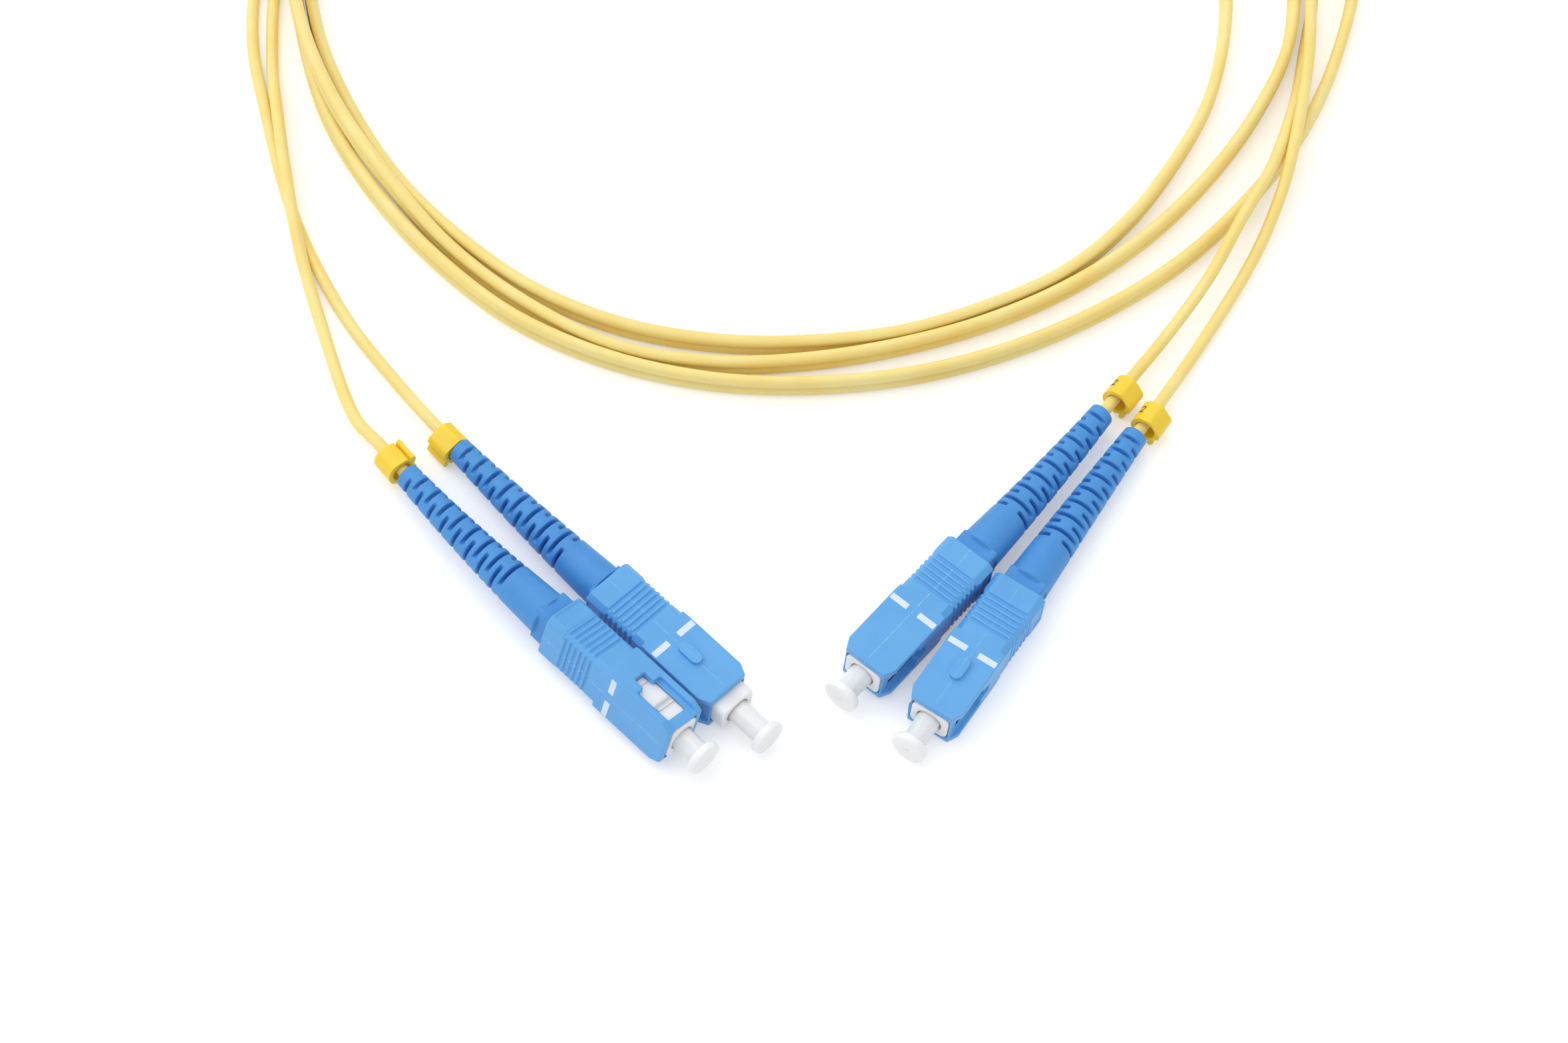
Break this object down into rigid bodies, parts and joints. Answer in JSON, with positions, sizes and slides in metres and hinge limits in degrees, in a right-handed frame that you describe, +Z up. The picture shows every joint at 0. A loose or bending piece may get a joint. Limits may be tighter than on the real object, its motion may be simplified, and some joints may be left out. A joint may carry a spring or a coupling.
{
  "type": "fibre optic patch cord",
  "caption": "Duplex fibre optic patch cord with square push-pull connectors, spring-loaded ferrules, dust caps, flexible boots and marker clips, coiled on a table",
  "frame": {"origin": "on the table, under the middle of the box around the four connectors with their boots and caps", "axes": "+X to the right across the two pairs of connectors, +Y away from the viewer towards the coil, +Z up"},
  "size_m": [0.1894, 0.2342, 0.0105],
  "materials": {
    "blue_housing": "satin moulded plastic",
    "white_frame": "satin moulded plastic",
    "zirconia": "polished zirconia ceramic",
    "plated_flange": "nickel plated, turned",
    "spring_wire": "stainless spring wire",
    "plated_rear_body": "nickel plated, knurled tail",
    "crimp_brass": "crimped sleeve",
    "white_buffer": "buffered fibre",
    "blue_boot": "matt soft plastic",
    "milky_cap": "milky translucent plastic",
    "yellow_clip": "satin moulded plastic",
    "yellow_jacket": "pale yellow jacket"
  },
  "bodies": {
    "cord": {"duplex_cord": "yellow_jacket", "cable_leg_a": "yellow_jacket", "plug_frame_a": "white_frame", "rear_body_a": "plated_rear_body", "crimp_ring_a": "crimp_brass", "fibre_buffer_a": "white_buffer", "boot_a": "blue_boot", "spring_a": "spring_wire", "cable_leg_b": "yellow_jacket", "plug_frame_b": "white_frame", "rear_body_b": "plated_rear_body", "crimp_ring_b": "crimp_brass", "fibre_buffer_b": "white_buffer", "boot_b": "blue_boot", "spring_b": "spring_wire", "cable_leg_c": "yellow_jacket", "plug_frame_c": "white_frame", "rear_body_c": "plated_rear_body", "crimp_ring_c": "crimp_brass", "fibre_buffer_c": "white_buffer", "boot_c": "blue_boot", "spring_c": "spring_wire", "cable_leg_d": "yellow_jacket", "plug_frame_d": "white_frame", "rear_body_d": "plated_rear_body", "crimp_ring_d": "crimp_brass", "fibre_buffer_d": "white_buffer", "boot_d": "blue_boot", "spring_d": "spring_wire"},
    "grip_a": {"outer_housing_a": "blue_housing"},
    "ferrule_assembly_a": {"ferrule_a": "zirconia", "ferrule_flange_a": "plated_flange"},
    "cap_a": {"dust_cap_a": "milky_cap"},
    "clip_a": {"marker_clip_a": "yellow_clip"},
    "grip_b": {"outer_housing_b": "blue_housing"},
    "ferrule_assembly_b": {"ferrule_b": "zirconia", "ferrule_flange_b": "plated_flange"},
    "cap_b": {"dust_cap_b": "milky_cap"},
    "clip_b": {"marker_clip_b": "yellow_clip"},
    "grip_c": {"outer_housing_c": "blue_housing"},
    "ferrule_assembly_c": {"ferrule_c": "zirconia", "ferrule_flange_c": "plated_flange"},
    "cap_c": {"dust_cap_c": "milky_cap"},
    "clip_c": {"marker_clip_c": "yellow_clip"},
    "grip_d": {"outer_housing_d": "blue_housing"},
    "ferrule_assembly_d": {"ferrule_d": "zirconia", "ferrule_flange_d": "plated_flange"},
    "cap_d": {"dust_cap_d": "milky_cap"},
    "clip_d": {"marker_clip_d": "yellow_clip"}
  },
  "joints": [
    {"name": "grip_slide_a", "type": "slide", "parent": "cord", "child": "grip_a", "axis": [0.6746, -0.7382, 0], "range_m": [-0.002, 0]},
    {"name": "ferrule_spring_a", "type": "slide", "parent": "cord", "child": "ferrule_assembly_a", "axis": [0.6746, -0.7382, 0], "range_m": [-0.001, 0], "stiffness_N_per_m": 200, "deforming": ["spring_a"]},
    {"name": "cap_pull_a", "type": "slide", "parent": "ferrule_assembly_a", "child": "cap_a", "axis": [0.6746, -0.7382, 0], "range_m": [-0.0019, 0.008]},
    {"name": "clip_slide_a", "type": "slide", "parent": "cord", "child": "clip_a", "axis": [0.5656, -0.817, 0.1125], "range_m": [-0.002, 0]},
    {"name": "grip_slide_b", "type": "slide", "parent": "cord", "child": "grip_b", "axis": [0.6724, -0.7402, 0], "range_m": [0, 0.002]},
    {"name": "ferrule_spring_b", "type": "slide", "parent": "cord", "child": "ferrule_assembly_b", "axis": [0.6724, -0.7402, 0], "range_m": [-0.001, 0], "stiffness_N_per_m": 200, "deforming": ["spring_b"]},
    {"name": "cap_pull_b", "type": "slide", "parent": "ferrule_assembly_b", "child": "cap_b", "axis": [0.6724, -0.7402, 0], "range_m": [-0.0037, 0.008]},
    {"name": "clip_slide_b", "type": "slide", "parent": "cord", "child": "clip_b", "axis": [0.6202, -0.7833, 0.0427], "range_m": [-0.002, 0]},
    {"name": "grip_slide_c", "type": "slide", "parent": "cord", "child": "grip_c", "axis": [-0.6788, -0.7343, 0], "range_m": [-0.002, 0]},
    {"name": "ferrule_spring_c", "type": "slide", "parent": "cord", "child": "ferrule_assembly_c", "axis": [-0.6788, -0.7343, 0], "range_m": [-0.001, 0], "stiffness_N_per_m": 200, "deforming": ["spring_c"]},
    {"name": "cap_pull_c", "type": "slide", "parent": "ferrule_assembly_c", "child": "cap_c", "axis": [-0.6788, -0.7343, 0], "range_m": [-0.0022, 0.008]},
    {"name": "clip_slide_c", "type": "slide", "parent": "cord", "child": "clip_c", "axis": [-0.6177, -0.7832, 0.071], "range_m": [-0.002, 0.0005]},
    {"name": "grip_slide_d", "type": "slide", "parent": "cord", "child": "grip_d", "axis": [-0.5899, -0.8075, 0], "range_m": [-0.002, 0]},
    {"name": "ferrule_spring_d", "type": "slide", "parent": "cord", "child": "ferrule_assembly_d", "axis": [-0.5899, -0.8075, 0], "range_m": [-0.001, 0], "stiffness_N_per_m": 200, "deforming": ["spring_d"]},
    {"name": "cap_pull_d", "type": "slide", "parent": "ferrule_assembly_d", "child": "cap_d", "axis": [-0.5899, -0.8075, 0], "range_m": [-0.0028, 0.008]},
    {"name": "clip_slide_d", "type": "slide", "parent": "cord", "child": "clip_d", "axis": [-0.5922, -0.8046, 0.0428], "range_m": [-0.002, 0.0005]}
  ]
}
